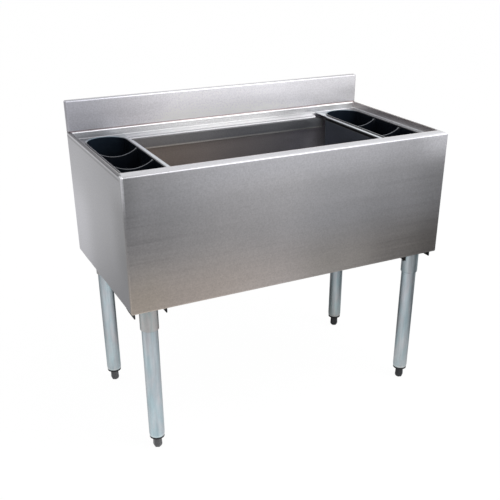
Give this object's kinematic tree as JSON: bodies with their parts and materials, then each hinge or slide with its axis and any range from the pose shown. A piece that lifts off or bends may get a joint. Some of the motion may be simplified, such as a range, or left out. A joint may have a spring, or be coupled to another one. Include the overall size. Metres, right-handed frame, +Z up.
{
  "type": "underbar ice bin",
  "caption": "Stainless underbar ice bin on tubular legs with screw-adjusted bullet feet, a low backsplash, an insulated ice well and a lift-out tray with a black bottle well at each end.",
  "frame": {"origin": "on the floor under the middle of the bin", "axes": "+X to the right end seen from the front, +Y to the back, +Z up"},
  "size_m": [0.9144, 0.474, 0.8549],
  "materials": {
    "stainless": "satin",
    "tray_stainless": "satin",
    "leg_steel": "satin",
    "gusset_steel": "satin",
    "drain_metal": "satin",
    "screw_steel": "satin",
    "black_plastic": "gloss",
    "dark_plastic": "satin",
    "gasket_rubber": "matte",
    "foam": "matte"
  },
  "bodies": {
    "bin": {"outer_jacket": "stainless", "top_deck": "stainless", "backsplash": "stainless", "back_panel": "stainless", "bottom_pan": "stainless", "ice_liner": "stainless", "insulation": "foam", "drain_body": "drain_metal", "drain_locknut": "drain_metal", "drain_gasket": "gasket_rubber", "leg_gusset_front_left": "gusset_steel", "leg_socket_front_left": "gusset_steel", "leg_tube_front_left": "leg_steel", "foot_insert_front_left": "dark_plastic", "leg_gusset_front_right": "gusset_steel", "leg_socket_front_right": "gusset_steel", "leg_tube_front_right": "leg_steel", "foot_insert_front_right": "dark_plastic", "leg_gusset_rear_left": "gusset_steel", "leg_socket_rear_left": "gusset_steel", "leg_tube_rear_left": "leg_steel", "foot_insert_rear_left": "dark_plastic", "leg_gusset_rear_right": "gusset_steel", "leg_socket_rear_right": "gusset_steel", "leg_tube_rear_right": "leg_steel", "foot_insert_rear_right": "dark_plastic", "leg_set_screws": "screw_steel"},
    "strainer": {"drain_strainer": "drain_metal"},
    "tray_left": {"bottle_tray_left": "tray_stainless"},
    "well_left": {"bottle_well_left": "black_plastic"},
    "tray_right": {"bottle_tray_right": "tray_stainless"},
    "well_right": {"bottle_well_right": "black_plastic"},
    "foot_front_left": {"bullet_foot_front_left": "dark_plastic"},
    "foot_front_right": {"bullet_foot_front_right": "dark_plastic"},
    "foot_rear_left": {"bullet_foot_rear_left": "dark_plastic"},
    "foot_rear_right": {"bullet_foot_rear_right": "dark_plastic"}
  },
  "joints": [
    {"name": "foot_front_left_height", "type": "slide", "parent": "bin", "child": "foot_front_left", "axis": [0, 0, 1], "range_m": [-0.025, 0]},
    {"name": "foot_front_right_height", "type": "slide", "parent": "bin", "child": "foot_front_right", "axis": [0, 0, 1], "range_m": [-0.025, 0]},
    {"name": "foot_rear_left_height", "type": "slide", "parent": "bin", "child": "foot_rear_left", "axis": [0, 0, 1], "range_m": [-0.025, 0]},
    {"name": "foot_rear_right_height", "type": "slide", "parent": "bin", "child": "foot_rear_right", "axis": [0, 0, 1], "range_m": [-0.025, 0]},
    {"name": "tray_left_lift", "type": "slide", "parent": "bin", "child": "tray_left", "axis": [0, 0, 1], "range_m": [0, 0.31]},
    {"name": "well_left_lift", "type": "slide", "parent": "tray_left", "child": "well_left", "axis": [0, 0, 1], "range_m": [0, 0.24]},
    {"name": "tray_right_lift", "type": "slide", "parent": "bin", "child": "tray_right", "axis": [0, 0, 1], "range_m": [0, 0.31]},
    {"name": "well_right_lift", "type": "slide", "parent": "tray_right", "child": "well_right", "axis": [0, 0, 1], "range_m": [0, 0.24]},
    {"name": "strainer_lift", "type": "slide", "parent": "bin", "child": "strainer", "axis": [0, 0, 1], "range_m": [0, 0.32]}
  ]
}
